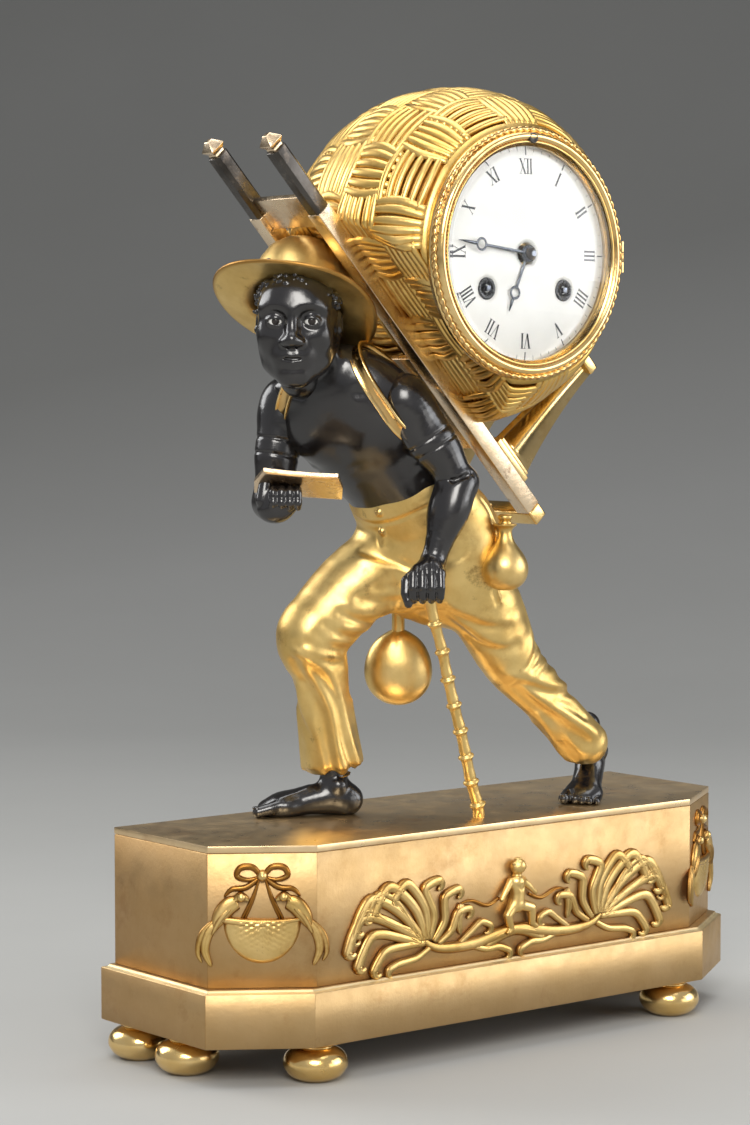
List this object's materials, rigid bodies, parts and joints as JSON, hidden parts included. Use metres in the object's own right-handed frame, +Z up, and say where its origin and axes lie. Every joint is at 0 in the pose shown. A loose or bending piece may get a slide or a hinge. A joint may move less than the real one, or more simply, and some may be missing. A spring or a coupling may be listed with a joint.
{
  "type": "figural clock",
  "caption": "Mantel clock: a porter walks with a cane over a cut-corner footed base, with a woven bale on his pack rack that holds a pendulum movement.",
  "frame": {"origin": "middle of the base on the surface it stands on", "axes": "+X along the base to the right of a viewer of the dial, -Y to that viewer, +Z up"},
  "size_m": [0.25, 0.1172, 0.3447],
  "materials": {
    "gilt_bronze": "worn matt and burnished gilding",
    "relief_bronze": "matt gilding with dark hollows",
    "dark_bronze": "near-black glossy patina",
    "strap_leather": "gilt bands",
    "top_brass": "polished, reflecting",
    "rail_metal": "pale worn bars with dark tops",
    "eye_enamel": "glossy enamel",
    "dial_enamel": "glossy fired enamel on copper",
    "glass": "clear",
    "blued_steel": "dark polished steel",
    "movement_brass": "satin",
    "bell_metal": "polished"
  },
  "bodies": {
    "case": {"base_plinth": "gilt_bronze", "base_case": "gilt_bronze", "hat": "gilt_bronze", "flask": "gilt_bronze", "round_gourd": "gilt_bronze", "bale_shell": "gilt_bronze", "door_hinges": "gilt_bronze", "waist_strap": "gilt_bronze", "rack_slats": "gilt_bronze", "rack_bars": "gilt_bronze", "rack_brackets": "gilt_bronze", "letter_tablet": "gilt_bronze", "trousers": "gilt_bronze", "cane": "gilt_bronze", "bun_foot_1": "gilt_bronze", "bun_foot_2": "gilt_bronze", "bun_foot_3": "gilt_bronze", "bun_foot_4": "gilt_bronze", "bun_foot_5": "gilt_bronze", "bun_foot_6": "gilt_bronze", "front_mount": "relief_bronze", "corner_mounts": "relief_bronze", "torso": "dark_bronze", "head": "dark_bronze", "left_arm": "dark_bronze", "right_arm": "dark_bronze", "left_foot": "dark_bronze", "right_foot": "dark_bronze", "right_strap": "strap_leather", "left_strap": "strap_leather", "base_top": "top_brass", "right_rail": "rail_metal", "left_rail": "rail_metal", "eyes": "eye_enamel", "dial": "dial_enamel", "fixing_nuts": "blued_steel", "dial_plate": "movement_brass", "front_plate": "movement_brass", "back_plate": "movement_brass", "pillars": "movement_brass", "suspension_cock": "movement_brass", "bell_stand": "movement_brass", "bell": "bell_metal"},
    "bezel_door": {"bezel": "gilt_bronze", "bezel_glass": "glass"},
    "back_door": {"rear_door": "gilt_bronze"},
    "minute_train": {"minute_hand": "blued_steel", "centre_arbor": "movement_brass", "hand_collet": "blued_steel"},
    "hour_train": {"hour_wheel": "movement_brass", "hour_hand": "blued_steel"},
    "motion_wheel": {"minute_wheel": "movement_brass"},
    "going_spring": {"going_barrel": "movement_brass"},
    "strike_spring": {"strike_barrel": "movement_brass"},
    "going_winder": {"going_arbor": "blued_steel"},
    "strike_winder": {"strike_arbor": "blued_steel"},
    "regulator": {"regulating_arbor": "blued_steel"},
    "pendulum_swing": {"pendulum": "blued_steel"},
    "pallets": {"pallet_arbor": "blued_steel"},
    "striker": {"hammer": "blued_steel"}
  },
  "joints": [
    {"name": "bezel_open", "type": "hinge", "parent": "case", "child": "bezel_door", "pos_m": [0.04036, -0.0506, 0.28495], "axis": [0, 0, 1], "range_deg": [0, 110]},
    {"name": "back_open", "type": "hinge", "parent": "case", "child": "back_door", "pos_m": [0.01916, 0.0479, 0.28495], "axis": [0, 0, -1], "range_deg": [0, 110]},
    {"name": "minute_turn", "type": "hinge", "parent": "case", "child": "minute_train", "pos_m": [-0.00514, -0.049, 0.28495], "axis": [0, 1, 0], "continuous": true},
    {"name": "hour_turn", "type": "hinge", "parent": "case", "child": "hour_train", "pos_m": [-0.00514, -0.049, 0.28495], "axis": [0, 1, 0], "continuous": true},
    {"name": "motion_turn", "type": "hinge", "parent": "case", "child": "motion_wheel", "pos_m": [-0.00514, -0.049, 0.29695], "axis": [0, 1, 0], "continuous": true},
    {"name": "going_run", "type": "hinge", "parent": "case", "child": "going_spring", "pos_m": [0.01286, -0.049, 0.27245], "axis": [0, 1, 0], "continuous": true},
    {"name": "strike_run", "type": "hinge", "parent": "case", "child": "strike_spring", "pos_m": [-0.02314, -0.049, 0.27245], "axis": [0, 1, 0], "continuous": true},
    {"name": "going_wind", "type": "hinge", "parent": "case", "child": "going_winder", "pos_m": [0.01286, -0.049, 0.27245], "axis": [0, 1, 0], "continuous": true},
    {"name": "strike_wind", "type": "hinge", "parent": "case", "child": "strike_winder", "pos_m": [-0.02314, -0.049, 0.27245], "axis": [0, 1, 0], "continuous": true},
    {"name": "regulate", "type": "hinge", "parent": "case", "child": "regulator", "pos_m": [-0.00514, -0.049, 0.32515], "axis": [0, 1, 0], "continuous": true},
    {"name": "swing", "type": "hinge", "parent": "case", "child": "pendulum_swing", "pos_m": [-0.00514, -0.049, 0.32515], "axis": [0, 1, 0], "range_deg": [-4, 4]},
    {"name": "escape", "type": "hinge", "parent": "case", "child": "pallets", "pos_m": [-0.00514, -0.049, 0.31195], "axis": [0, 1, 0], "range_deg": [-6.6, 6.6]},
    {"name": "strike", "type": "hinge", "parent": "case", "child": "striker", "pos_m": [-0.02664, -0.049, 0.30495], "axis": [0, 1, 0], "range_deg": [0, 12], "stiffness_Nm_per_rad": 0.0006}
  ],
  "couplings": [
    {"joint": "hour_turn", "follows": "minute_turn", "ratio": 0.083333},
    {"joint": "motion_turn", "follows": "minute_turn", "ratio": -0.33333},
    {"joint": "going_run", "follows": "minute_turn", "ratio": 0.02381},
    {"joint": "escape", "follows": "swing", "ratio": 1.6}
  ]
}
